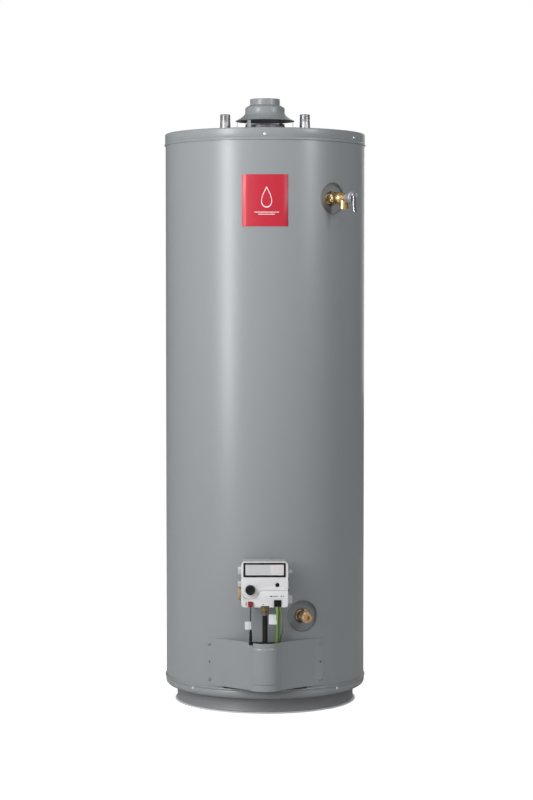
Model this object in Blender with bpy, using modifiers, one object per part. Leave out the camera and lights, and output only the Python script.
"""A gas-fired tank water heater, standing on its base ring.

Units are metres and +Z is up. The origin is the middle of the model's footprint,
on the floor, and the front, with the gas control, faces -Y. Most pieces are placed
from the tank's own axis: "across" is to the right, "reach" is how far out from the
axis, towards the front, and "height" is above the floor.
"""

import math

import bmesh
import bpy
from mathutils import Matrix, Vector

# ---- Clearances and smoothness ----
GAP = 0.0003              # air between two pieces that touch
LOOSE = 0.0006            # air round a pin or a rod in its hole
BIG_STEPS = 32            # sides of the casing and the tank
SMALL_STEPS = 16          # sides of fittings

# ---- Casing ----
JACKET_RADIUS = 0.254
SHEET = 0.001             # thickness of all the casing's sheet steel
CASING_TOP = 1.4467
COVER_SKIRT = 0.0302      # how far the top cover comes down over the jacket
BEAD_HEIGHT = 0.005
BEAD_DEPTH = 0.0017
COVER_CORNER = 0.004
PAN_BOTTOM = 0.040
PAN_SKIRT = 0.0255
PAN_CORNER = 0.012
PAN_HOLE = 0.118
RING_RADIUS = JACKET_RADIUS - 0.0277
RING_LIP = 0.0057
RING_SEAM_AZIMUTH = 41.0
RING_SEAM_WIDTH = 0.006

# ---- Tank and flue ----
INSULATION = 0.0254       # from the tank's wall to the outside of the casing
TANK_RADIUS = JACKET_RADIUS - INSULATION
TANK_WALL = 0.0025
SHELL_TOP = CASING_TOP - 0.0907
HEAD_RISE = 0.055
HEAD_FLANGE = 0.022
BOTTOM_HEAD_EDGE = 0.200
BOTTOM_HEAD_RISE = 0.038
SPUD_RADIUS = 0.019
FLUE_RADIUS = 0.0508
FLUE_TOP = CASING_TOP + 0.0223
BAFFLE_WIDTH = 0.060
BAFFLE_LENGTH = 1.02
BAFFLE_SWING = 0.012
BAFFLE_FOLD = 0.085
FOAM_BOTTOM = 0.205

# ---- Pipe threads ----
PIPE_RADIUS = 0.01335     # three-quarter inch pipe, outside
PIPE_BORE = 0.0105
THREAD_RADIUS = PIPE_RADIUS - 0.00025   # a thread screwed into a spud
SOCKET_DEPTH = 0.026
NIPPLE_SPACING = 0.2032
NIPPLE_TOP = CASING_TOP + 0.0518
DIP_TUBE_LENGTH = 1.12
DIP_TUBE_RADIUS = 0.0095
ANODE_AZIMUTH = 150.0
ANODE_RADIUS = 0.0107
ANODE_LENGTH = 0.95
ANODE_HEX = 0.0155

# ---- Draft hood ----
COLLAR_RADIUS = 0.0381
COLLAR_HEIGHT = 0.015
HOOD_TOP = CASING_TOP + 0.0903
DRUM_RADIUS = 0.0506
FLARE_RADIUS = 0.075
HOOD_HEIGHT = 0.055
LEG_ANGLES = (-35.0, 90.0, 145.0, -90.0)
LEG_CIRCLE = 0.0705
LEG_WIDTH = 0.0106
LEG_FOOT = 0.012
LEG_TAB = 0.005

# ---- Label ----
LABEL_HALF_ANGLE = 12.8
LABEL_HIGH = CASING_TOP - 0.1147
LABEL_LOW = LABEL_HIGH - 0.127
LABEL_THICKNESS = 0.0005

# ---- Recesses for the two valves ----
RECESS_RADIUS = 0.040
RECESS_DEPTH = 0.007
RECESS_HOLE = 0.0175
RECESS_WALL = 0.0015

# ---- Relief valve ----
RELIEF_AZIMUTH = 41.6
RELIEF_HEIGHT = CASING_TOP - 0.1707
RELIEF_BODY_RADIUS = 0.015
RELIEF_BODY_END = JACKET_RADIUS + 0.052
RELIEF_NECK = JACKET_RADIUS + 0.030
RELIEF_NECK_RADIUS = 0.0127
RELIEF_HEX = 0.0165
RELIEF_BORE, RELIEF_CHAMBER = 0.0070, 0.0105
RELIEF_OUTLET_REACH = JACKET_RADIUS + 0.0385
RELIEF_OUTLET_RADIUS = 0.0117
RELIEF_OUTLET_BORE = 0.0088
RELIEF_OUTLET_DROP = 0.028
RELIEF_CAP_RADIUS = 0.015
RELIEF_CAP_END = JACKET_RADIUS + 0.0705
RELIEF_CAP_WALL = 0.005
RELIEF_SEAT = JACKET_RADIUS + 0.0135
RELIEF_STEM_RADIUS = 0.0024
RELIEF_DISC_RADIUS, RELIEF_DISC = 0.0085, 0.0035
LEVER_PIVOT_REACH = JACKET_RADIUS + 0.075
LEVER_PIVOT_RISE = 0.0060
LEVER_LENGTH = 0.0425
LEVER_WIDTH = 0.010
LEVER_PIN_RADIUS = 0.0014
SPRING_TURNS = 5
SPRING_RADIUS = 0.0065
SPRING_WIRE = 0.0009

# ---- Drain valve ----
DRAIN_AZIMUTH = 21.5
DRAIN_HEIGHT = 0.245
DRAIN_END = JACKET_RADIUS + 0.033
DRAIN_BORE = 0.0054
DRAIN_BARREL = 0.013
DRAIN_BALL_REACH = JACKET_RADIUS + 0.0195
DRAIN_BALL_RADIUS = 0.0085
DRAIN_STEM_RADIUS = 0.003
DRAIN_STEM_HEAD = 0.0050
DRAIN_STEM_TOP = 0.020

# ---- Gas control ----
CONTROL_LEFT, CONTROL_RIGHT = -0.057, 0.0565
CONTROL_LOW, CONTROL_HIGH = 0.284, 0.3947
COVER_FRONT = JACKET_RADIUS + 0.108
COVER_BACK = COVER_FRONT - 0.0405
COVER_WALL = 0.0025
CONTROL_BACK = JACKET_RADIUS + 0.018
CONTROL_FACE = COVER_FRONT - 0.010
TOP_CORNER, LOW_CORNER = 0.010, 0.007
SEAM_HEIGHT = 0.325
SEAM_GAP = 0.0006
SCOOP_RADIUS = 0.023
SEAM_FILLET = 0.010
KNOB_ACROSS, KNOB_HEIGHT = -0.0354, 0.327
KNOB_RADIUS = 0.012
KNOB_DEPTH = 0.010
KNOB_SHAFT = 0.003
BUTTON_ACROSS, BUTTON_HEIGHT = -0.035, 0.2920
BUTTON_WIDTH, BUTTON_TALL = 0.011, 0.0128
BUTTON_TRAVEL = 0.005
BUTTON_PROUD = 0.006
WINDOW_ACROSS, WINDOW_HEIGHT, WINDOW_RADIUS = 0.030, 0.339, 0.005
PLUG_ACROSS, PLUG_HEIGHT = 0.0306, 0.2945
PLUG_WIDTH, PLUG_TALL = 0.017, 0.0155
FRAME_BOX = (-0.052, 0.050, 0.358, 0.393)
FRAME_BAR = 0.0045
INLET_HEIGHT, INLET_REACH, INLET_RADIUS = 0.3105, JACKET_RADIUS + 0.046, 0.0155
LUG_OUT = 0.009           # how far the mounting lugs stand out past the covers
LEFT_LUGS = ((0.3598, 0.3772), (0.3290, 0.3416))
RIGHT_LUGS = ((0.3630, 0.3690), (0.2885, 0.3075))
WELL_HEIGHT = 0.335
WELL_DEPTH = 0.100

# ---- Gas line, leads and burner ----
LINE_REACH = JACKET_RADIUS + 0.046
FITTING_HEX, FITTING_TALL = 0.0115, 0.019
NUT_HEX, NUT_TALL = 0.0105, 0.011
TUBE_RADIUS = 0.00645
TUBE_LEVEL = 0.100
PILOT_TUBE_RADIUS = 0.0026
CABLE_RADIUS = 0.00135
BOOT_RADIUS = 0.00385
LEAD_RADIUS = 0.0042
THIN_LEAD_RADIUS = 0.002
ELECTRODE_LEAD_RADIUS = 0.0018
BURNER_RADIUS = 0.085
HUB_RADIUS = 0.020

# ---- Access door ----
DOOR_LOW, DOOR_HIGH = 0.070, 0.188
DOOR_FLANGE_OUT, DOOR_FLANGE_IN = 34.4, 28.9
DOOR_HOLE_AZIMUTH = 32.7
DOOR_HOLE_HEIGHTS = (0.172, 0.128, 0.085)
DOOR_RETURN = (0.0069, 0.0049)   # from a flange's fold to where the panel starts
BULGE_HALF = 0.0365
BULGE_BACK, BULGE_FRONT = JACKET_RADIUS + 0.034, JACKET_RADIUS + 0.060
NOTCH_ACROSS, NOTCH_HALF, NOTCH_DEPTH = -0.0347, 0.0055, 0.0070
SCREW_SHANK, SCREW_HEAD, SCREW_TALL = 0.0018, 0.0042, 0.0026
BURNER_OPENING = (19.0, 0.080, 0.165)   # half its angle, and its two heights
BURNER_FRAME = 0.018
INNER_DOOR_LAP = 0.010

JACKET_INNER = JACKET_RADIUS - SHEET
TANK_INNER = TANK_RADIUS - TANK_WALL
FRONT_REACH = COVER_FRONT + KNOB_DEPTH + 2 * GAP
BACK_REACH = JACKET_RADIUS + GAP + SHEET + BEAD_DEPTH
CUT_IN, CUT_OUT = TANK_RADIUS - 0.03, JACKET_RADIUS + 0.046   # reaches that a cut through the wall spans
AXIS_BACK = (FRONT_REACH - BACK_REACH) / 2   # puts the origin in the middle of the footprint

for leftover in list(bpy.data.objects):
    bpy.data.objects.remove(leftover)
PARTS = bpy.data.collections.new("tank_water_heater")
CUTTERS = bpy.data.collections.new("cutters")
for group in (PARTS, CUTTERS):
    bpy.context.scene.collection.children.link(group)


# ---- Finishes ----
def finish(name, colour, roughness, metallic=0.0):
    material = bpy.data.materials.new(name)
    material.use_nodes = True
    shader = material.node_tree.nodes["Principled BSDF"]
    shader.inputs["Base Color"].default_value = (*colour, 1.0)
    shader.inputs["Roughness"].default_value = roughness
    shader.inputs["Metallic"].default_value = metallic
    return material


GREY_PAINT = finish("grey_paint", (0.29, 0.31, 0.33), 0.35)
DARK_STEEL = finish("dark_steel", (0.10, 0.11, 0.12), 0.5, 0.5)
TANK_STEEL = finish("tank_steel", (0.20, 0.20, 0.21), 0.6, 0.8)
BRIGHT_STEEL = finish("bright_steel", (0.62, 0.63, 0.65), 0.25, 1.0)
BRASS = finish("brass", (0.72, 0.50, 0.22), 0.3, 1.0)
FOAM = finish("foam", (0.80, 0.70, 0.42), 0.9)
CAST_GREY = finish("cast_grey", (0.42, 0.43, 0.45), 0.5, 0.4)
WHITE_PLASTIC = finish("white_plastic", (0.80, 0.80, 0.80), 0.35)
BLACK_PLASTIC = finish("black_plastic", (0.012, 0.012, 0.013), 0.4)
RED_PLASTIC = finish("red_plastic", (0.45, 0.01, 0.012), 0.35)
RED_LABEL = finish("red_label", (0.62, 0.022, 0.048), 0.35)
GREEN_SLEEVE = finish("green_sleeve", (0.20, 0.32, 0.06), 0.5)
NATURAL_PLASTIC = finish("natural_plastic", (0.72, 0.72, 0.68), 0.5)


# ---- Shape helpers ----
def station(name, azimuth=0.0):
    """An empty on the tank's axis, turned so that its -Y looks out at this azimuth."""
    empty = bpy.data.objects.new(name, None)
    empty.location = (0, AXIS_BACK, 0)
    empty.rotation_euler = (0, 0, math.radians(azimuth))
    PARTS.objects.link(empty)
    return empty


def spot(across, reach, height):
    return Vector((across, -reach, height))


def place(obj, where, material):
    """Puts an object in its station's frame; one without a material is a cutter."""
    obj.parent = where
    if material is None:
        CUTTERS.objects.link(obj)
        obj.hide_render = True
        obj.display_type = "WIRE"
    else:
        PARTS.objects.link(obj)
        obj.data.materials.append(material)
    return obj


def mesh_object(name, shape, where, material, smooth=True):
    mesh = bpy.data.meshes.new(name)
    shape.to_mesh(mesh)
    shape.free()
    if smooth:
        mesh.shade_smooth()
        mesh.set_sharp_from_angle(angle=math.radians(35))
    return place(bpy.data.objects.new(name, mesh), where, material)


def block(name, across, reach, height, where, material=None):
    """A box between two values across, two reaches and two heights."""
    low = spot(across[0], reach[1], height[0])
    high = spot(across[1], reach[0], height[1])
    size = high - low
    shape = bmesh.new()
    bmesh.ops.create_cube(shape, size=1.0,
                          matrix=Matrix.Translation((low + high) / 2) @ Matrix.Diagonal((*size, 1)))
    return mesh_object(name, shape, where, material, smooth=False)


def rod(name, radius, start, end, where, material=None, sides=SMALL_STEPS, end_radius=None):
    """A straight round bar, or with few sides a hexagon, from one point to another."""
    start, end = spot(*start), spot(*end)
    along = end - start
    turn = along.to_track_quat("Z", "Y").to_matrix().to_4x4()
    shape = bmesh.new()
    bmesh.ops.create_cone(shape, cap_ends=True, segments=sides, radius1=radius,
                          radius2=radius if end_radius is None else end_radius, depth=along.length,
                          matrix=Matrix.Translation((start + end) / 2) @ turn)
    return mesh_object(name, shape, where, material)


def turned(name, profile, where, material=None, steps=SMALL_STEPS, height=None, centre=(0, 0)):
    """A profile of (radius, position) turned all the way round, its outer side given first, downwards.

    It turns round the vertical at centre, or, where a height is given, round the
    line that runs straight out of the tank there, and position is then the reach.
    """
    shape = bmesh.new()
    points = [shape.verts.new((radius, 0, position)) for radius, position in profile]
    closed = profile[0][0] > 0
    for first, second in zip(points, points[1:] + points[:1] if closed else points[1:]):
        shape.edges.new((first, second))
    obj = mesh_object(name, shape, where, material, smooth=False)
    if height is None:
        obj.location = spot(centre[0], centre[1], 0)
    else:
        obj.location = (0, 0, height)
        obj.rotation_euler = (math.pi / 2, 0, 0)
    screw = obj.modifiers.new("Turn", "SCREW")
    screw.steps = screw.render_steps = steps
    screw.use_merge_vertices = True
    screw.merge_threshold = 0.00002
    screw.use_smooth_shade = False
    return obj


def sheet(name, first_edge, second_edge, thickness, where, material, outside=True):
    """Sheet metal between two matching lines of points, with its thickness to one side."""
    shape = bmesh.new()
    rows = [[shape.verts.new(point) for point in edge] for edge in (first_edge, second_edge)]
    for at in range(len(first_edge) - 1):
        shape.faces.new((rows[0][at], rows[0][at + 1], rows[1][at + 1], rows[1][at]))
    obj = mesh_object(name, shape, where, material, smooth=False)
    wall = obj.modifiers.new("Wall", "SOLIDIFY")
    wall.thickness = thickness
    wall.offset = -1 if outside else 1
    wall.use_even_offset = True
    return obj


def upright_sheet(name, plan, heights, thickness, where, material, outside=True):
    """Sheet metal that follows a plan of (across, reach) points, between two heights."""
    edges = [[spot(across, reach, height) for across, reach in plan] for height in heights]
    return sheet(name, edges[0], edges[1], thickness, where, material, outside)


def arc(centre, radius, start, end, count):
    """Points on an arc, its angles in degrees, from the first to the last."""
    angles = [math.radians(start + (end - start) * at / (count - 1)) for at in range(count)]
    return [(centre[0] + radius * math.cos(a), centre[1] + radius * math.sin(a)) for a in angles]


def on_wall(radius, azimuth):
    """(across, reach) of a point at this azimuth on a circle round the tank's axis."""
    angle = math.radians(azimuth)
    return radius * math.sin(angle), radius * math.cos(angle)


def as_mesh(curve_object, where, material):
    """The same shape as a mesh, so that it can be cut."""
    bpy.context.view_layer.update()
    graph = bpy.context.evaluated_depsgraph_get()
    mesh = bpy.data.meshes.new_from_object(curve_object.evaluated_get(graph))
    shape = bmesh.new()
    shape.from_mesh(mesh)
    shape.transform(curve_object.matrix_local)
    bmesh.ops.remove_doubles(shape, verts=shape.verts, dist=0.00001)
    bmesh.ops.recalc_face_normals(shape, faces=shape.faces)
    name = curve_object.name
    bpy.data.objects.remove(curve_object)
    bpy.data.meshes.remove(mesh)
    return mesh_object(name, shape, where, material)


def flat_plate(name, outline, reach, where, material=None):
    """An outline of (across, height) points, extruded between two reaches."""
    curve = bpy.data.curves.new(name, "CURVE")
    curve.dimensions = "2D"
    curve.fill_mode = "BOTH"
    curve.extrude = (reach[1] - reach[0]) / 2
    spline = curve.splines.new("POLY")
    spline.points.add(len(outline) - 1)
    spline.use_cyclic_u = True
    for point, (across, height) in zip(spline.points, outline):
        point.co = (across, height, 0, 1)
    obj = bpy.data.objects.new(name, curve)
    obj.rotation_euler = (math.pi / 2, 0, 0)
    obj.location = (0, -(reach[0] + reach[1]) / 2, 0)
    bpy.context.scene.collection.objects.link(obj)
    return as_mesh(obj, where, material)


def prism(name, outlines, where):
    """A cutter or a piece to join, between two matching closed outlines."""
    shape = bmesh.new()
    rings = [[shape.verts.new(point) for point in outline] for outline in outlines]
    count = len(rings[0])
    for at in range(count):
        after = (at + 1) % count
        shape.faces.new((rings[0][at], rings[0][after], rings[1][after], rings[1][at]))
    for ring in rings:
        shape.faces.new(ring)
    bmesh.ops.recalc_face_normals(shape, faces=shape.faces)
    return mesh_object(name, shape, where, None, smooth=False)


def ball_shape(name, radius, centre, where, material=None):
    shape = bmesh.new()
    bmesh.ops.create_uvsphere(shape, u_segments=12, v_segments=8, radius=radius, matrix=Matrix.Translation(centre))
    return mesh_object(name, shape, where, material)


def smooth_route(points, spacing):
    """Points a set distance apart, more or less, on a smooth curve through a route's own points."""
    route = [spot(*point) for point in points]
    ends = [2 * route[0] - route[1], *route, 2 * route[-1] - route[-2]]
    placed = []
    for before, first, second, after in zip(ends, ends[1:], ends[2:], ends[3:]):
        steps = max(1, round((second - first).length / spacing))
        for at in range(steps):
            t = at / steps
            placed.append(0.5 * (2 * first + (second - before) * t
                                 + (2 * before - 5 * first + 4 * second - after) * t ** 2
                                 + (3 * first - before - 3 * second + after) * t ** 3))
    return placed + [route[-1]]


def tube(name, points, radius, where, material, fineness=2):
    """A solid round line through these points."""
    curve = bpy.data.curves.new(name, "CURVE")
    curve.dimensions = "3D"
    curve.bevel_depth = radius
    curve.bevel_resolution = fineness
    curve.use_fill_caps = True
    spline = curve.splines.new("POLY")
    spline.points.add(len(points) - 1)
    for point, position in zip(spline.points, points):
        point.co = (*position, 1)
    return place(bpy.data.objects.new(name, curve), where, material)


def combine(obj, *others, operation="DIFFERENCE"):
    for other in others:
        step = obj.modifiers.new(other.name, "BOOLEAN")
        step.operation = operation
        step.object = other
    return obj


def join(obj, *others):
    return combine(obj, *others, operation="UNION")


# ---- Stations round the tank ----
FRONT = station("tank_axis")
RELIEF = station("relief_station", RELIEF_AZIMUTH)
DRAIN = station("drain_station", DRAIN_AZIMUTH)
ANODE = station("anode_station", ANODE_AZIMUTH)

SPUD_TOP = CASING_TOP - 0.0187
SPUD_LEDGE = SPUD_TOP - SOCKET_DEPTH
HEAD_RADII = (TANK_INNER - GAP, 0.8625 * TANK_INNER, 0.575 * TANK_INNER, FLUE_RADIUS + 2 * LOOSE)


def dome_height(radius, edge, rise):
    """Height of an elliptical tank head's outer face at this radius."""
    return edge + rise * math.sqrt(max(0.0, 1 - (radius / TANK_INNER) ** 2))


# ---- Casing ----
def bead(inner, low):
    """The rolled bead that stands out from a skirt, as profile points going down."""
    outer = inner + BEAD_DEPTH
    return [(inner, low + BEAD_HEIGHT), (outer, low + 0.68 * BEAD_HEIGHT),
            (outer, low + 0.32 * BEAD_HEIGHT), (inner, low)]


def make_jacket():
    low = PAN_BOTTOM + PAN_CORNER + GAP
    high = CASING_TOP - SHEET - COVER_CORNER - GAP
    jacket = turned("jacket", [(JACKET_RADIUS, high), (JACKET_RADIUS, low),
                               (JACKET_INNER, low), (JACKET_INNER, high)],
                    FRONT, GREY_PAINT, BIG_STEPS)
    for where, height in ((RELIEF, RELIEF_HEIGHT), (DRAIN, DRAIN_HEIGHT)):
        combine(jacket, rod("jacket_recess_cut", RECESS_RADIUS + GAP, (0, CUT_IN, height), (0, CUT_OUT, height),
                            where, sides=24))
    combine(jacket, rod("jacket_well_cut", SPUD_RADIUS + LOOSE, (0, CUT_IN, WELL_HEIGHT), (0, CUT_OUT, WELL_HEIGHT),
                        FRONT))
    half = on_wall(JACKET_RADIUS, BURNER_OPENING[0] + 5)[0]
    combine(jacket, block("jacket_burner_cut", (-half, half), (0.6 * JACKET_RADIUS, CUT_OUT),
                          (BURNER_OPENING[1] - BURNER_FRAME, BURNER_OPENING[2] + BURNER_FRAME), FRONT))
    for hole in screw_holes("jacket_screw_cut"):
        combine(jacket, hole)


def screw_holes(name):
    """Cutters for the access door's screw holes, through the flanges and the jacket."""
    holes = []
    for side in (-1, 1):
        for height in DOOR_HOLE_HEIGHTS:
            inner = on_wall(JACKET_RADIUS - 0.006, side * DOOR_HOLE_AZIMUTH)
            outer = on_wall(JACKET_RADIUS + 0.006, side * DOOR_HOLE_AZIMUTH)
            holes.append(rod(name, SCREW_SHANK + GAP, (*inner, height), (*outer, height), FRONT, sides=8))
    return holes


def make_top_cover():
    outer = JACKET_RADIUS + GAP + SHEET
    inner = JACKET_RADIUS + GAP
    top, low = CASING_TOP, CASING_TOP - COVER_SKIRT
    hole = FLUE_RADIUS + 2 * LOOSE
    profile = [(hole, top), *arc((outer - COVER_CORNER, top - COVER_CORNER), COVER_CORNER, 90, 0, 3),
               *bead(outer, low), (inner, low), (inner, top - COVER_CORNER),
               (outer - COVER_CORNER, top - SHEET), (hole, top - SHEET)]
    cover = turned("top_cover", profile, FRONT, GREY_PAINT, BIG_STEPS)
    for side in (-1, 1):
        across = side * NIPPLE_SPACING / 2
        combine(cover, rod("cover_nipple_cut", PIPE_RADIUS + LOOSE, (across, 0, top - 0.01), (across, 0, top + 0.01),
                           FRONT))


def make_base():
    outer = JACKET_RADIUS + GAP + SHEET
    inner = JACKET_RADIUS + GAP
    high = PAN_BOTTOM + PAN_SKIRT
    corner = (outer - PAN_CORNER, PAN_BOTTOM + PAN_CORNER)
    inside = list(reversed(arc(corner, PAN_CORNER - SHEET, 0, -90, 3)))
    profile = [*bead(outer, high - BEAD_HEIGHT), *arc(corner, PAN_CORNER, 0, -90, 4),
               (PAN_HOLE, PAN_BOTTOM), (PAN_HOLE, PAN_BOTTOM + SHEET), *inside, (inner, high)]
    turned("base_pan", profile, FRONT, GREY_PAINT, BIG_STEPS)

    top = PAN_BOTTOM - GAP
    ring = turned("base_ring", [(RING_RADIUS, top), (RING_RADIUS, 2 * SHEET), (RING_RADIUS + RING_LIP, 2 * SHEET),
                                (RING_RADIUS + RING_LIP, 0), (RING_RADIUS - SHEET, 0),
                                (RING_RADIUS - SHEET, top)], FRONT, DARK_STEEL, BIG_STEPS)
    seam = station("ring_seam_station", RING_SEAM_AZIMUTH)
    combine(ring, block("ring_seam_cut", (-RING_SEAM_WIDTH / 2, RING_SEAM_WIDTH / 2),
                        (RING_RADIUS + LOOSE, RING_RADIUS + 0.02), (-0.01, 0.01), seam))

    low = PAN_BOTTOM + SHEET + GAP
    plate = turned("flame_arrestor", [(0, low + 0.004), (PAN_HOLE + 0.008, low + 0.004),
                                      (PAN_HOLE + 0.008, low), (0, low)], FRONT, DARK_STEEL, BIG_STEPS)
    for at in range(8):
        across = (at - 3.5) * 0.022
        length = 0.85 * math.sqrt(PAN_HOLE ** 2 - across ** 2)
        combine(plate, block("arrestor_slot_cut", (across - 0.003, across + 0.003), (-length, length),
                             (low - 0.01, low + 0.01), FRONT))


def make_label():
    plan = [on_wall(JACKET_RADIUS + GAP, azimuth) for azimuth in
            [LABEL_HALF_ANGLE * (at / 4 - 1) for at in range(9)]]
    upright_sheet("label_plate", plan, (LABEL_LOW, LABEL_HIGH), LABEL_THICKNESS, FRONT, RED_LABEL, outside=False)


# ---- Tank, flue and foam ----
def make_tank_shell():
    low = PAN_BOTTOM + SHEET + GAP
    shell = turned("tank_shell", [(TANK_RADIUS, SHELL_TOP), (TANK_RADIUS, low), (TANK_INNER, low),
                                  (TANK_INNER, SHELL_TOP)], FRONT, TANK_STEEL, BIG_STEPS)
    for where, height in ((RELIEF, RELIEF_HEIGHT), (DRAIN, DRAIN_HEIGHT), (FRONT, WELL_HEIGHT)):
        join(shell, rod("spud_boss", SPUD_RADIUS, (0, TANK_INNER - 0.003, height), (0, TANK_RADIUS + 0.008, height),
                        where))
        combine(shell, rod("spud_bore", PIPE_RADIUS + GAP, (0, CUT_IN, height), (0, CUT_OUT, height), where))
    half = on_wall(TANK_RADIUS, BURNER_OPENING[0])[0]
    combine(shell, block("shell_burner_cut", (-half, half), (0.6 * JACKET_RADIUS, CUT_OUT), BURNER_OPENING[1:], FRONT))


def head_profile(edge, rise):
    """A domed head's profile, with its flange turned down inside the shell."""
    flange = edge - HEAD_FLANGE
    outer = [(radius, dome_height(radius, edge, rise)) for radius in HEAD_RADII]
    outer[0] = (HEAD_RADII[0], edge)
    inner = [(min(radius, HEAD_RADII[0] - TANK_WALL), height - TANK_WALL) for radius, height in outer]
    return [*reversed(outer), (HEAD_RADII[0], flange), (HEAD_RADII[0] - TANK_WALL, flange), *inner]


def make_heads():
    top = turned("tank_top_head", head_profile(SHELL_TOP, HEAD_RISE), FRONT, TANK_STEEL, BIG_STEPS)
    ledge = SPUD_LEDGE
    places = ((FRONT, -NIPPLE_SPACING / 2, 0), (FRONT, NIPPLE_SPACING / 2, 0), (ANODE, 0, NIPPLE_SPACING / 2))
    for where, across, reach in places:
        join(top, rod("head_spud", SPUD_RADIUS, (across, reach, ledge - 0.006), (across, reach, SPUD_TOP), where))
        combine(top, rod("head_socket", PIPE_RADIUS + GAP, (across, reach, ledge), (across, reach, SPUD_TOP + 0.01),
                         where))
        combine(top, rod("head_bore", ANODE_RADIUS + LOOSE, (across, reach, ledge - 0.02),
                         (across, reach, SPUD_TOP), where))
    turned("tank_bottom_head", head_profile(BOTTOM_HEAD_EDGE, BOTTOM_HEAD_RISE), FRONT, TANK_STEEL, BIG_STEPS)


def make_flue():
    low = dome_height(FLUE_RADIUS, BOTTOM_HEAD_EDGE, BOTTOM_HEAD_RISE) - 0.012
    inner = FLUE_RADIUS - TANK_WALL
    turned("flue_tube", [(FLUE_RADIUS, FLUE_TOP), (FLUE_RADIUS, low), (inner, low), (inner, FLUE_TOP)],
           FRONT, TANK_STEEL, 24)
    folds = int(BAFFLE_LENGTH / BAFFLE_FOLD)
    top = FLUE_TOP + GAP
    line = [((-1) ** at * BAFFLE_SWING if at else 0.0, top + 0.004 - at * BAFFLE_FOLD) for at in range(folds + 1)]
    edges = [[spot(side * BAFFLE_WIDTH / 2, reach, height) for reach, height in line] for side in (-1, 1)]
    baffle = sheet("flue_baffle", edges[0], edges[1], 0.0015, FRONT, DARK_STEEL)
    join(baffle, block("baffle_hanger", (-FLUE_RADIUS + SHEET, FLUE_RADIUS - SHEET), (-0.0025, 0.0025),
                       (top, top + 0.005), FRONT))


def make_foam():
    outer, inner = JACKET_INNER - GAP, TANK_RADIUS + GAP
    top = CASING_TOP - SHEET - GAP
    shoulder = top - COVER_CORNER
    lift = 3 * GAP
    under = [(radius, dome_height(radius, SHELL_TOP, HEAD_RISE) + lift) for radius in HEAD_RADII[1:-1]]
    flue = FLUE_RADIUS + 2 * GAP
    flue_low = dome_height(FLUE_RADIUS, SHELL_TOP, HEAD_RISE) + lift
    profile = [(flue, top), (outer - COVER_CORNER, top), (outer, shoulder), (outer, FOAM_BOTTOM),
               (inner, FOAM_BOTTOM), (inner, SHELL_TOP + lift), (HEAD_RADII[0], SHELL_TOP + lift),
               *under, (flue, flue_low)]
    foam = turned("foam_insulation", profile, FRONT, FOAM, BIG_STEPS)
    for where, height in ((RELIEF, RELIEF_HEIGHT), (DRAIN, DRAIN_HEIGHT)):
        floor = recess_floor() - RECESS_WALL - GAP
        combine(foam, rod("foam_recess_cut", RECESS_RADIUS + GAP, (0, floor, height), (0, CUT_OUT, height), where,
                          sides=24))
    for where, height in ((RELIEF, RELIEF_HEIGHT), (DRAIN, DRAIN_HEIGHT), (FRONT, WELL_HEIGHT)):
        combine(foam, rod("foam_spud_cut", SPUD_RADIUS + GAP, (0, CUT_IN, height), (0, CUT_OUT, height), where))
    for where, across, reach in ((FRONT, -NIPPLE_SPACING / 2, 0), (FRONT, NIPPLE_SPACING / 2, 0),
                                 (ANODE, 0, NIPPLE_SPACING / 2)):
        combine(foam, rod("foam_nipple_cut", SPUD_RADIUS + GAP, (across, reach, SHELL_TOP - 0.05),
                          (across, reach, CASING_TOP + 0.05), where))


# ---- Water fittings on top ----
def make_water_fittings():
    ledge = SPUD_LEDGE
    lip = 0.002
    for name, side, bottom in (("hot_nipple", -1, ledge + GAP), ("cold_nipple", 1, ledge + lip + 2 * GAP)):
        chamfer = 0.001
        turned(name, [(PIPE_BORE, NIPPLE_TOP), (PIPE_RADIUS - chamfer, NIPPLE_TOP),
                      (PIPE_RADIUS, NIPPLE_TOP - chamfer), (PIPE_RADIUS, bottom), (PIPE_BORE, bottom)],
               FRONT, BRIGHT_STEEL, SMALL_STEPS, centre=(side * NIPPLE_SPACING / 2, 0))
    bottom = ledge - DIP_TUBE_LENGTH
    bore = DIP_TUBE_RADIUS - 0.0015
    turned("dip_tube", [(PIPE_RADIUS - GAP, ledge + GAP + lip), (PIPE_RADIUS - GAP, ledge + GAP),
                        (DIP_TUBE_RADIUS, ledge + GAP), (DIP_TUBE_RADIUS, bottom), (bore, bottom),
                        (bore, ledge + GAP + lip)], FRONT, NATURAL_PLASTIC, 12, centre=(NIPPLE_SPACING / 2, 0))
    reach = NIPPLE_SPACING / 2
    anode = turned("anode_rod", [(0, SPUD_TOP + GAP + 0.002), (PIPE_RADIUS - GAP, SPUD_TOP + GAP + 0.002),
                                 (PIPE_RADIUS - GAP, ledge + GAP), (ANODE_RADIUS, ledge + GAP),
                                 (ANODE_RADIUS, ledge - ANODE_LENGTH), (0, ledge - ANODE_LENGTH)],
                   ANODE, CAST_GREY, 16, centre=(0, reach))
    join(anode, rod("anode_hex", ANODE_HEX, (0, reach, SPUD_TOP + GAP), (0, reach, SPUD_TOP + 0.010), ANODE, sides=6))


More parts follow.
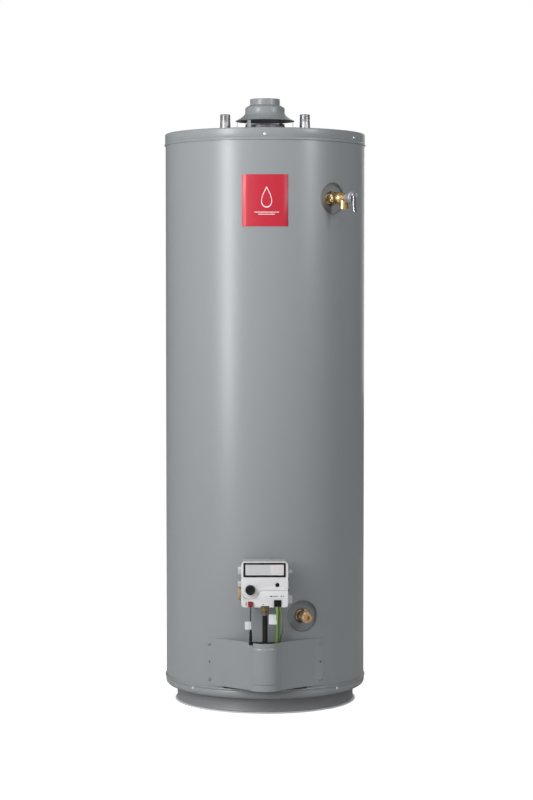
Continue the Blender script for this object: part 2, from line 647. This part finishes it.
# ---- Draft hood ----
def make_hood():
    top, low = HOOD_TOP, HOOD_TOP - HOOD_HEIGHT
    collar_low = top - COLLAR_HEIGHT
    drum_top = collar_low - 0.010
    drum_low = drum_top - 0.009
    rise = drum_low - low
    flare = [(DRUM_RADIUS + (FLARE_RADIUS - DRUM_RADIUS) * share ** 1.4, drum_low - rise * share ** 0.75)
             for share in (0.3, 0.65, 1.0)]
    outside = [(COLLAR_RADIUS - 0.0002, top), (COLLAR_RADIUS, top - 0.0005), (COLLAR_RADIUS, collar_low),
               (DRUM_RADIUS - 0.003, drum_top + 0.004), (DRUM_RADIUS, drum_top), (DRUM_RADIUS, drum_low), *flare]
    inside = [(radius - SHEET, height) for radius, height in reversed(outside[2:-1])]
    turned("draft_hood", [*outside, (FLARE_RADIUS - SHEET, low), *inside, (COLLAR_RADIUS - SHEET, top)],
           FRONT, GREY_PAINT, 24)
    foot = CASING_TOP + GAP
    for number, angle in enumerate(LEG_ANGLES, start=1):
        where = station(f"hood_leg_station_{number}", angle)
        line = [(LEG_CIRCLE + LEG_FOOT, foot), (LEG_CIRCLE, foot), (LEG_CIRCLE, low - LOOSE),
                (LEG_CIRCLE - LEG_TAB, low - LOOSE)]
        edges = [[spot(side * LEG_WIDTH / 2, reach, height) for reach, height in line] for side in (-1, 1)]
        sheet(f"hood_leg_{number}", edges[0], edges[1], 0.0012, where, BRIGHT_STEEL)


# ---- Valves ----
def recess_floor():
    """Reach of a recess's floor, a set depth behind the shallowest point of its rim."""
    return math.sqrt(JACKET_RADIUS ** 2 - RECESS_RADIUS ** 2) - RECESS_DEPTH


def make_recess(name, where, height):
    floor = recess_floor()
    slope = 0.004
    rim = JACKET_RADIUS + 0.004
    cup = turned(name, [(RECESS_RADIUS, rim), (RECESS_RADIUS, floor - RECESS_WALL),
                        (RECESS_HOLE, floor - RECESS_WALL), (RECESS_HOLE, floor),
                        (RECESS_RADIUS - RECESS_WALL - slope, floor), (RECESS_RADIUS - RECESS_WALL, floor + slope),
                        (RECESS_RADIUS - RECESS_WALL, rim)], where, GREY_PAINT, 24, height)
    trim = turned(f"{name}_trim", [(0, height + 0.06), (JACKET_RADIUS, height + 0.06),
                                   (JACKET_RADIUS, height - 0.06), (0, height - 0.06)], FRONT, None, BIG_STEPS)
    combine(cup, trim, operation="INTERSECT")


def make_relief_valve():
    height = RELIEF_HEIGHT
    make_recess("relief_valve_recess", RELIEF, height)
    bore, chamber, neck_radius = RELIEF_BORE, RELIEF_CHAMBER, RELIEF_NECK_RADIUS
    outer_end, inner_end = RELIEF_BODY_END, TANK_INNER - 0.003
    shank = JACKET_RADIUS + 0.006
    body = turned("relief_valve_body", [
        (chamber, outer_end), (neck_radius, outer_end), (neck_radius, RELIEF_NECK),
        (RELIEF_BODY_RADIUS, RELIEF_NECK - 0.002), (RELIEF_BODY_RADIUS, shank + 0.002), (THREAD_RADIUS, shank),
        (THREAD_RADIUS, inner_end), (bore, inner_end), (bore, RELIEF_SEAT), (chamber, RELIEF_SEAT)],
        RELIEF, BRASS, 16, height)
    join(body, rod("relief_hex", RELIEF_HEX, (0, shank - 0.0115, height), (0, shank + 0.0012, height), RELIEF, sides=6))
    low = height - RELIEF_OUTLET_DROP
    reach = RELIEF_OUTLET_REACH
    join(body, rod("relief_outlet", RELIEF_OUTLET_RADIUS, (0, reach, low), (0, reach, height - 0.002), RELIEF))
    combine(body, rod("relief_bore_cut", bore, (0, CUT_IN, height), (0, RELIEF_SEAT + 0.001, height), RELIEF),
            rod("relief_chamber_cut", chamber, (0, RELIEF_SEAT, height), (0, outer_end + 0.01, height), RELIEF),
            rod("relief_outlet_cut", RELIEF_OUTLET_BORE, (0, reach, low - 0.01), (0, reach, height), RELIEF))

    start = outer_end + GAP
    hole = RELIEF_STEM_RADIUS + 0.0009
    ceiling = RELIEF_CAP_END - RELIEF_CAP_WALL
    collar = neck_radius + 0.0001
    cap = turned("relief_valve_cap", [
        (hole, RELIEF_CAP_END), (RELIEF_CAP_RADIUS - 0.002, RELIEF_CAP_END),
        (RELIEF_CAP_RADIUS, RELIEF_CAP_END - 0.002), (RELIEF_CAP_RADIUS, RELIEF_CAP_END - 0.0105),
        (collar, RELIEF_CAP_END - 0.0110), (collar, start), (chamber, start), (chamber, ceiling), (hole, ceiling)],
        RELIEF, CAST_GREY, 16, height)
    pivot = height + LEVER_PIVOT_RISE
    half = LEVER_WIDTH / 2
    for side in (-1, 1):
        inner, outer = side * (half + 0.0005), side * (half + 0.0025)
        join(cap, block("lever_ear", (min(inner, outer), max(inner, outer)),
                        (RELIEF_CAP_END - 0.001, LEVER_PIVOT_REACH + 0.003), (pivot - 0.0035, pivot + 0.0035),
                        RELIEF))
    combine(cap, rod("lever_ear_cut", LEVER_PIN_RADIUS + GAP, (-0.02, LEVER_PIVOT_REACH, pivot),
                     (0.02, LEVER_PIVOT_REACH, pivot), RELIEF, sides=12))

    hub = station("relief_lever_axis", RELIEF_AZIMUTH)
    lever = rod("relief_valve_lever", 0.0030, (-half, LEVER_PIVOT_REACH, pivot), (half, LEVER_PIVOT_REACH, pivot),
                hub, BRIGHT_STEEL, sides=16)
    strap = [(LEVER_PIVOT_REACH - 0.0012, pivot), (LEVER_PIVOT_REACH - 0.0012, pivot - 0.6 * LEVER_LENGTH),
             (LEVER_PIVOT_REACH + 0.0022, pivot - LEVER_LENGTH)]
    outline = [*strap, *[(reach + 0.0018, rise) for reach, rise in reversed(strap)]]
    edge_lines = [[spot(side * half, reach, rise) for reach, rise in outline] for side in (-1, 1)]
    join(lever, prism("lever_strap", edge_lines, hub))
    combine(lever, rod("lever_eye_cut", LEVER_PIN_RADIUS + GAP, (-0.02, LEVER_PIVOT_REACH, pivot),
                       (0.02, LEVER_PIVOT_REACH, pivot), hub, sides=12))
    rod("relief_lever_pin", LEVER_PIN_RADIUS, (-half - 0.0032, LEVER_PIVOT_REACH, pivot),
        (half + 0.0032, LEVER_PIVOT_REACH, pivot), RELIEF, BRIGHT_STEEL, sides=12)

    tip, disc = LEVER_PIVOT_REACH - 0.0028, RELIEF_SEAT + RELIEF_DISC
    turned("relief_valve_stem", [
        (0, tip), (RELIEF_STEM_RADIUS, tip), (RELIEF_STEM_RADIUS, disc), (RELIEF_DISC_RADIUS, disc),
        (RELIEF_DISC_RADIUS, RELIEF_SEAT + GAP), (0, RELIEF_SEAT + GAP)], RELIEF, BRASS, 16, height)
    count = SPRING_TURNS * 8
    first, last = disc + GAP + SPRING_WIRE, ceiling - GAP - SPRING_WIRE
    coil = []
    for at in range(count + 1):
        angle = 2 * math.pi * SPRING_TURNS * at / count
        coil.append(spot(SPRING_RADIUS * math.cos(angle), first + (last - first) * at / count,
                         height + SPRING_RADIUS * math.sin(angle)))
    tube("relief_valve_spring", coil, SPRING_WIRE, RELIEF, BRIGHT_STEEL, 0)


def make_drain_valve():
    height = DRAIN_HEIGHT
    make_recess("drain_valve_recess", DRAIN, height)
    inner, shank = TANK_INNER - 0.003, JACKET_RADIUS - 0.005
    body = turned("drain_valve_body", [
        (DRAIN_BORE, DRAIN_END), (DRAIN_BARREL - 0.0015, DRAIN_END), (DRAIN_BARREL, DRAIN_END - 0.0015),
        (DRAIN_BARREL, DRAIN_END - 0.010), (DRAIN_BARREL - 0.0015, DRAIN_END - 0.011),
        (DRAIN_BARREL - 0.0015, DRAIN_END - 0.020), (DRAIN_BARREL, DRAIN_END - 0.022), (DRAIN_BARREL, shank),
        (THREAD_RADIUS, shank - 0.0005), (THREAD_RADIUS, inner), (DRAIN_BORE, inner)], DRAIN, BRASS, 16, height)
    ball = DRAIN_BALL_REACH
    join(body, rod("drain_stem_boss", 0.0065, (0, ball, height + 0.006), (0, ball, height + 0.0155), DRAIN))
    combine(body, ball_shape("drain_ball_cut", DRAIN_BALL_RADIUS + LOOSE, spot(0, ball, height), DRAIN),
            rod("drain_stem_cut", DRAIN_STEM_RADIUS + GAP, (0, ball, height), (0, ball, height + 0.03), DRAIN,
                sides=16),
            rod("drain_bore_cut", DRAIN_BORE, (0, CUT_IN, height), (0, CUT_OUT, height), DRAIN))

    hub = bpy.data.objects.new("drain_stem_axis", None)
    PARTS.objects.link(hub)
    hub.parent = DRAIN
    hub.location = spot(0, ball, height)
    valve = ball_shape("drain_valve_ball", DRAIN_BALL_RADIUS, Vector(), hub, BRASS)
    combine(valve, rod("ball_bore_cut", DRAIN_BORE, (-0.02, 0, 0), (0.02, 0, 0), hub, sides=16))
    low = DRAIN_BALL_RADIUS + GAP
    stem = rod("drain_valve_stem", DRAIN_STEM_RADIUS, (0, 0, low), (0, 0, 0.0165), hub, BRASS, sides=16)
    join(stem, rod("drain_stem_head", DRAIN_STEM_HEAD, (0, 0, 0.0158), (0, 0, DRAIN_STEM_TOP), hub))
    combine(stem, block("stem_slot_cut", (-0.02, 0.02), (-0.0007, 0.0007), (DRAIN_STEM_TOP - 0.002, 0.03), hub))


# ---- Gas control ----
def seam(side):
    """The line between the two covers, left to right: a scoop under the knob, then level.

    side is 1 on the upper cover and -1 on the lower one, each half a gap away.
    """
    shift = side * SEAM_GAP / 2
    radius = SCOOP_RADIUS - shift
    fillet = SEAM_FILLET + shift
    level = SEAM_HEIGHT + shift
    drop = KNOB_HEIGHT - (level - fillet)
    centre = (KNOB_ACROSS + math.sqrt((radius + fillet) ** 2 - drop ** 2), level - fillet)
    join_angle = math.degrees(math.atan2(-drop, centre[0] - KNOB_ACROSS))
    left_angle = -180 + math.degrees(math.acos(min(1, (KNOB_ACROSS - CONTROL_LEFT) / radius)))
    scoop = arc((KNOB_ACROSS, KNOB_HEIGHT), radius, left_angle, join_angle, 12)
    return [*scoop, *arc(centre, fillet, join_angle + 180, 90, 6)[1:], (CONTROL_RIGHT, level)]


def make_covers():
    right, left = CONTROL_RIGHT, CONTROL_LEFT
    high = CONTROL_HIGH - TOP_CORNER
    low = CONTROL_LOW + LOW_CORNER
    top_edge = [*arc((right - TOP_CORNER, high), TOP_CORNER, 0, 90, 5),
                *arc((left + TOP_CORNER, high), TOP_CORNER, 90, 180, 5)]
    low_edge = [*arc((left + LOW_CORNER, low), LOW_CORNER, 180, 270, 4),
                *arc((right - LOW_CORNER, low), LOW_CORNER, 270, 360, 4)]
    span = (COVER_BACK, COVER_FRONT)
    upper = flat_plate("control_upper_cover", [*seam(1), *top_edge], span, FRONT, WHITE_PLASTIC)
    lower = flat_plate("control_lower_cover", [*low_edge, *reversed(seam(-1))], span, FRONT, WHITE_PLASTIC)
    pocket = block("cover_pocket_cut", body_span(GAP), (COVER_BACK - 0.01, COVER_FRONT - COVER_WALL),
                   body_rise(GAP), FRONT)
    for cover in (upper, lower):
        combine(cover, pocket)
    face = (COVER_FRONT - 0.01, COVER_FRONT + 0.01)
    combine(upper, rod("cover_shaft_cut", KNOB_SHAFT + LOOSE, (KNOB_ACROSS, face[0], KNOB_HEIGHT),
                       (KNOB_ACROSS, face[1], KNOB_HEIGHT), FRONT),
            rod("cover_window_cut", WINDOW_RADIUS + GAP, (WINDOW_ACROSS, face[0], WINDOW_HEIGHT),
                (WINDOW_ACROSS, face[1], WINDOW_HEIGHT), FRONT, sides=16))
    below = CONTROL_LOW - 0.01
    for name, (across, height) in (("cover_button_cut", button_box(GAP)), ("cover_plug_cut", plug_box(GAP))):
        combine(lower, block(name, across, (CONTROL_FACE - 0.012, face[1]), (below, height[1]), FRONT))
    combine(lower,
            block("cover_tube_notch", (-0.010, 0.010), (COVER_BACK - 0.01, COVER_FRONT + 0.01),
                  (below, CONTROL_LOW + 0.0015), FRONT))


def body_span(clearance=0.0):
    return CONTROL_LEFT + COVER_WALL + GAP - clearance, CONTROL_RIGHT - COVER_WALL - GAP + clearance


def body_rise(clearance=0.0):
    return CONTROL_LOW + COVER_WALL + GAP - clearance, CONTROL_HIGH - COVER_WALL - GAP + clearance


def button_box(clearance=0.0):
    half_width, half_tall = BUTTON_WIDTH / 2 + clearance, BUTTON_TALL / 2 + clearance
    return ((BUTTON_ACROSS - half_width, BUTTON_ACROSS + half_width),
            (BUTTON_HEIGHT - half_tall, BUTTON_HEIGHT + half_tall))


def plug_box(clearance=0.0):
    half_width, half_tall = PLUG_WIDTH / 2 + clearance, PLUG_TALL / 2 + clearance
    return ((PLUG_ACROSS - half_width, PLUG_ACROSS + half_width),
            (PLUG_HEIGHT - half_tall, PLUG_HEIGHT + half_tall))


def make_control_body():
    span, rise = body_span(), body_rise()
    body = block("control_body", span, (CONTROL_BACK, CONTROL_FACE), rise, FRONT, CAST_GREY)
    bevel = body.modifiers.new("Edges", "BEVEL")
    bevel.width = 0.003
    bevel.segments = 1
    back = (CONTROL_BACK + 0.013, COVER_BACK - GAP - 0.003)
    root = 0.015
    for height in LEFT_LUGS:
        join(body, block("left_lug", (CONTROL_LEFT - LUG_OUT, span[0] + root), back, height, FRONT))
    for height in RIGHT_LUGS:
        join(body, block("right_lug", (span[1] - root, CONTROL_RIGHT + LUG_OUT + 0.001), back, height, FRONT))
    across, height = button_box(GAP)
    combine(body, block("body_button_cut", across, (CONTROL_FACE - BUTTON_TRAVEL - 0.006, CONTROL_FACE + 0.02),
                        (CONTROL_LOW - 0.02, height[1]), FRONT),
            rod("body_shaft_cut", KNOB_SHAFT + GAP, (KNOB_ACROSS, CONTROL_FACE - 0.012, KNOB_HEIGHT),
                (KNOB_ACROSS, CONTROL_FACE + 0.02, KNOB_HEIGHT), FRONT, sides=16))


def make_control_trim():
    left, right, low, high = FRAME_BOX
    corner = 0.003
    outer = [*arc((right - corner, high - corner), corner, 0, 90, 4),
             *arc((left + corner, high - corner), corner, 90, 180, 4), (left, low), (right, low)]
    face = (COVER_FRONT + GAP, COVER_FRONT + GAP + 0.0012)
    frame = flat_plate("label_frame", outer, face, FRONT, BLACK_PLASTIC)
    combine(frame, block("label_frame_cut", (left + FRAME_BAR, right - FRAME_BAR), (face[0] - 0.01, face[1] + 0.01),
                         (low + FRAME_BAR, high - FRAME_BAR), FRONT))
    rod("status_window", WINDOW_RADIUS, (WINDOW_ACROSS, CONTROL_FACE + GAP, WINDOW_HEIGHT),
        (WINDOW_ACROSS, COVER_FRONT + 0.0008, WINDOW_HEIGHT), FRONT, BLACK_PLASTIC, sides=16)
    across, height = plug_box()
    block("wire_connector", across, (CONTROL_FACE + GAP, COVER_FRONT + 0.0025), height, FRONT, BLACK_PLASTIC)
    rod("gas_inlet_plug", INLET_RADIUS, (body_span()[0] - GAP, INLET_REACH, INLET_HEIGHT),
        (body_span()[0] - 0.0115, INLET_REACH, INLET_HEIGHT), FRONT, BRASS, end_radius=INLET_RADIUS - 0.0015)


def make_knob_and_button():
    knob_axis = bpy.data.objects.new("knob_axis", None)
    PARTS.objects.link(knob_axis)
    knob_axis.parent = FRONT
    knob_axis.location = spot(KNOB_ACROSS, 0, KNOB_HEIGHT)
    back = COVER_FRONT + 2 * GAP
    front = back + KNOB_DEPTH
    socket = KNOB_SHAFT + GAP
    knob = turned("temperature_knob", [
        (0, front), (KNOB_RADIUS - 0.0022, front), (KNOB_RADIUS - 0.001, front - 0.0012), (KNOB_RADIUS, back + 0.001),
        (KNOB_RADIUS, back), (socket, back), (socket, back + 0.006), (0, back + 0.006)],
        knob_axis, BLACK_PLASTIC, 24, 0)
    combine(knob, block("knob_pointer_cut", (-0.0006, 0.0006), (front - 0.0008, front + 0.01),
                        (0.003, KNOB_RADIUS + 0.01), knob_axis))
    rod("knob_shaft", KNOB_SHAFT, (0, CONTROL_FACE - 0.0115, 0), (0, back + 0.0057, 0), knob_axis, CAST_GREY,
        sides=16)
    across, height = button_box()
    button = block("igniter_button", across, (CONTROL_FACE - 0.005, COVER_FRONT + BUTTON_PROUD), height,
                   FRONT, RED_PLASTIC)
    bevel = button.modifiers.new("Edges", "BEVEL")
    bevel.width = 0.001
    bevel.segments = 2


def make_well():
    """The threaded shank and sensing well that carries the control on the tank."""
    back = CONTROL_BACK - GAP
    well = turned("control_well", [
        (0, back), (THREAD_RADIUS, back), (THREAD_RADIUS, TANK_INNER - 0.004), (0.0070, TANK_INNER - 0.006),
        (0.0070, TANK_INNER - WELL_DEPTH), (0, TANK_INNER - WELL_DEPTH)], FRONT, BRASS, 16, WELL_HEIGHT)
    join(well, rod("well_hex", 0.0170, (0, JACKET_RADIUS + 0.002, WELL_HEIGHT),
                   (0, back - 0.003, WELL_HEIGHT), FRONT, sides=6))


# ---- Gas line, leads and burner ----
def make_gas_line():
    top = body_rise()[0] - GAP
    fitting_low, nut_low = top - FITTING_TALL, top - FITTING_TALL - NUT_TALL
    rod("outlet_fitting", FITTING_HEX, (0, LINE_REACH, fitting_low), (0, LINE_REACH, top), FRONT, BRASS, sides=6)
    rod("manifold_nut", NUT_HEX, (0, LINE_REACH, nut_low), (0, LINE_REACH, fitting_low - GAP), FRONT,
        NATURAL_PLASTIC, sides=6)
    end = HUB_RADIUS + LOOSE
    down = [(0, LINE_REACH, nut_low - GAP), (0, LINE_REACH, 0.200), (0, LINE_REACH, 0.145),
            (0, LINE_REACH - 0.003, 0.122), (0, LINE_REACH - 0.014, 0.106), (0, LINE_REACH - 0.032, TUBE_LEVEL),
            (0, LINE_REACH - 0.065, TUBE_LEVEL), (0, 0.130, TUBE_LEVEL), (0, end, TUBE_LEVEL)]
    tube("manifold_tube", smooth_route(down, 0.014), TUBE_RADIUS, FRONT, BLACK_PLASTIC, 2)
    behind = LINE_REACH - 0.0175
    pilot = [(0, behind, top), (0, behind, 0.240), (0, behind, 0.165), (0.003, behind - 0.0045, 0.140),
             (0.008, behind - 0.0205, 0.124), (0.008, behind - 0.0425, 0.122), (0.008, 0.180, 0.122),
             (0.008, 0.1218, 0.122)]
    tube("pilot_tube", smooth_route(pilot, 0.012), PILOT_TUBE_RADIUS, FRONT, BRIGHT_STEEL, 1)


def make_leads():
    body_low = body_rise()[0] - GAP
    cable = [(-0.035, 0.312, body_low), (-0.035, 0.311, 0.270), (-0.0352, 0.307, 0.250),
             (-0.035, 0.304, 0.232), (-0.035, 0.303, 0.2205)]
    tube("igniter_cable", smooth_route(cable, 0.006), CABLE_RADIUS, FRONT, BLACK_PLASTIC, 1)
    boot = [(-0.035, 0.303, 0.2202), (-0.035, 0.303, 0.205), (-0.035, 0.3025, 0.194), (-0.0348, 0.3000, 0.1885),
            (-0.0345, 0.2945, 0.1865), (-0.0342, 0.2850, 0.1860)]
    tube("igniter_boot", smooth_route(boot, 0.006), BOOT_RADIUS, FRONT, BLACK_PLASTIC, 2)
    electrode = [(-0.0342, 0.2847, 0.1860), (-0.0335, 0.278, 0.1845), (-0.0305, 0.270, 0.172),
                 (-0.0260, 0.262, 0.152), (-0.0240, 0.250, 0.140), (-0.0240, 0.225, 0.136),
                 (-0.0220, 0.180, 0.134), (-0.0130, 0.1218, 0.130)]
    tube("electrode_lead", smooth_route(electrode, 0.009), ELECTRODE_LEAD_RADIUS, FRONT, WHITE_PLASTIC, 1)
    plug_low = plug_box()[1][0] - GAP
    thick = [(0.0305, 0.3580, plug_low), (0.0305, 0.3580, plug_low - 0.006), (0.0318, 0.3530, 0.268),
             (0.0310, 0.3370, 0.240), (0.0310, 0.3130, 0.212), (0.0288, 0.2900, 0.190), (0.0278, 0.2780, 0.166),
             (0.0250, 0.2640, 0.147), (0.0180, 0.2490, 0.139), (0.0170, 0.2280, 0.137), (0.0160, 0.180, 0.134),
             (0.0130, 0.1218, 0.131)]
    tube("thermopile_lead", smooth_route(thick, 0.012), LEAD_RADIUS, FRONT, GREEN_SLEEVE, 1)
    thin = [(0.0371, 0.3590, plug_low), (0.0371, 0.3590, plug_low - 0.005), (0.0405, 0.3560, 0.268),
            (0.0425, 0.3410, 0.245), (0.0425, 0.3160, 0.218), (0.0372, 0.2840, 0.193), (0.0355, 0.2730, 0.170),
            (0.0335, 0.2630, 0.152), (0.0310, 0.2500, 0.146), (0.0300, 0.2400, 0.1455), (0.0300, 0.2308, 0.1455)]
    tube("limit_switch_lead", smooth_route(thin, 0.010), THIN_LEAD_RADIUS, FRONT, GREEN_SLEEVE, 1)


def make_burner():
    base = TUBE_LEVEL - 0.012
    deck = TUBE_LEVEL + 0.012
    turned("burner", [(0, deck + 0.016), (BURNER_RADIUS - 0.01, deck + 0.016), (BURNER_RADIUS, deck + 0.008),
                      (BURNER_RADIUS - 0.006, deck), (HUB_RADIUS, deck), (HUB_RADIUS, base), (0, base)],
           FRONT, DARK_STEEL, 24)
    pilot = block("pilot_burner", (-0.018, 0.018), (0.099, 0.1212), (0.118, 0.136), FRONT, BRIGHT_STEEL)
    combine(pilot, block("pilot_flame_slot", (-0.012, 0.012), (0.09, 0.110), (0.124, 0.15), FRONT))


def make_inner_door():
    azimuth, low, high = BURNER_OPENING
    lap = math.degrees(INNER_DOOR_LAP / TANK_RADIUS)
    half = azimuth + lap
    plan = [on_wall(TANK_RADIUS + GAP, half * (at / 5 - 1)) for at in range(11)]
    door = upright_sheet("inner_door", plan, (low - INNER_DOOR_LAP, high + INNER_DOOR_LAP), 0.0012, FRONT, DARK_STEEL,
                         outside=False)
    # the places where the lines' own routes cross the door
    crossings = ((TUBE_RADIUS, 0, TUBE_LEVEL), (PILOT_TUBE_RADIUS, 0.008, 0.122),
                 (ELECTRODE_LEAD_RADIUS, -0.0240, 0.1362), (LEAD_RADIUS, 0.0171, 0.1372))
    for radius, across, height in crossings:
        combine(door, rod("inner_door_cut", radius + LOOSE, (across, TANK_RADIUS - 0.02, height),
                          (across, TANK_RADIUS + 0.02, height), FRONT, sides=16))


# ---- Access door and its screws ----
def make_access_door():
    flange = JACKET_RADIUS + GAP
    rise = BULGE_FRONT - BULGE_BACK
    radius = (BULGE_HALF ** 2 + rise ** 2) / (2 * rise)
    sweep = math.degrees(math.asin(BULGE_HALF / radius))
    fold = on_wall(flange, DOOR_FLANGE_IN)
    left = [on_wall(flange, -DOOR_FLANGE_OUT), on_wall(flange, -(DOOR_FLANGE_OUT + DOOR_FLANGE_IN) / 2),
            (-fold[0], fold[1]), (-fold[0] + DOOR_RETURN[0], fold[1] + DOOR_RETURN[1])]
    bulge = arc((0, BULGE_FRONT - radius), radius, 90 + sweep, 90 - sweep, 15)
    right = [(-across, reach) for across, reach in reversed(left)]
    door = upright_sheet("access_door", [*left, *bulge, *right], (DOOR_LOW, DOOR_HIGH), SHEET, FRONT, GREY_PAINT,
                         outside=False)
    combine(door, *screw_holes("door_screw_cut"))
    combine(door, block("door_notch_cut", (NOTCH_ACROSS - NOTCH_HALF, NOTCH_ACROSS + NOTCH_HALF),
                        (BULGE_BACK - 0.01, BULGE_FRONT + 0.01), (DOOR_HIGH - NOTCH_DEPTH, DOOR_HIGH + 0.01), FRONT))
    seat = flange + SHEET + GAP
    number = 0
    for side in (-1, 1):
        for height in (DOOR_HOLE_HEIGHTS[0], DOOR_HOLE_HEIGHTS[2]):
            number += 1
            where = station(f"door_screw_station_{number}", side * DOOR_HOLE_AZIMUTH)
            turned(f"door_screw_{number}", [
                (0, seat + SCREW_TALL), (0.6 * SCREW_HEAD, seat + 0.8 * SCREW_TALL), (SCREW_HEAD, seat + 0.0006),
                (SCREW_HEAD, seat), (SCREW_SHANK, seat), (SCREW_SHANK, seat - 0.008), (0, seat - 0.008)],
                where, BRIGHT_STEEL, 12, height)


make_jacket()
make_top_cover()
make_base()
make_label()
make_tank_shell()
make_heads()
make_flue()
make_foam()
make_water_fittings()
make_hood()
make_relief_valve()
make_drain_valve()
make_covers()
make_control_body()
make_control_trim()
make_knob_and_button()
make_well()
make_gas_line()
make_leads()
make_burner()
make_inner_door()
make_access_door()
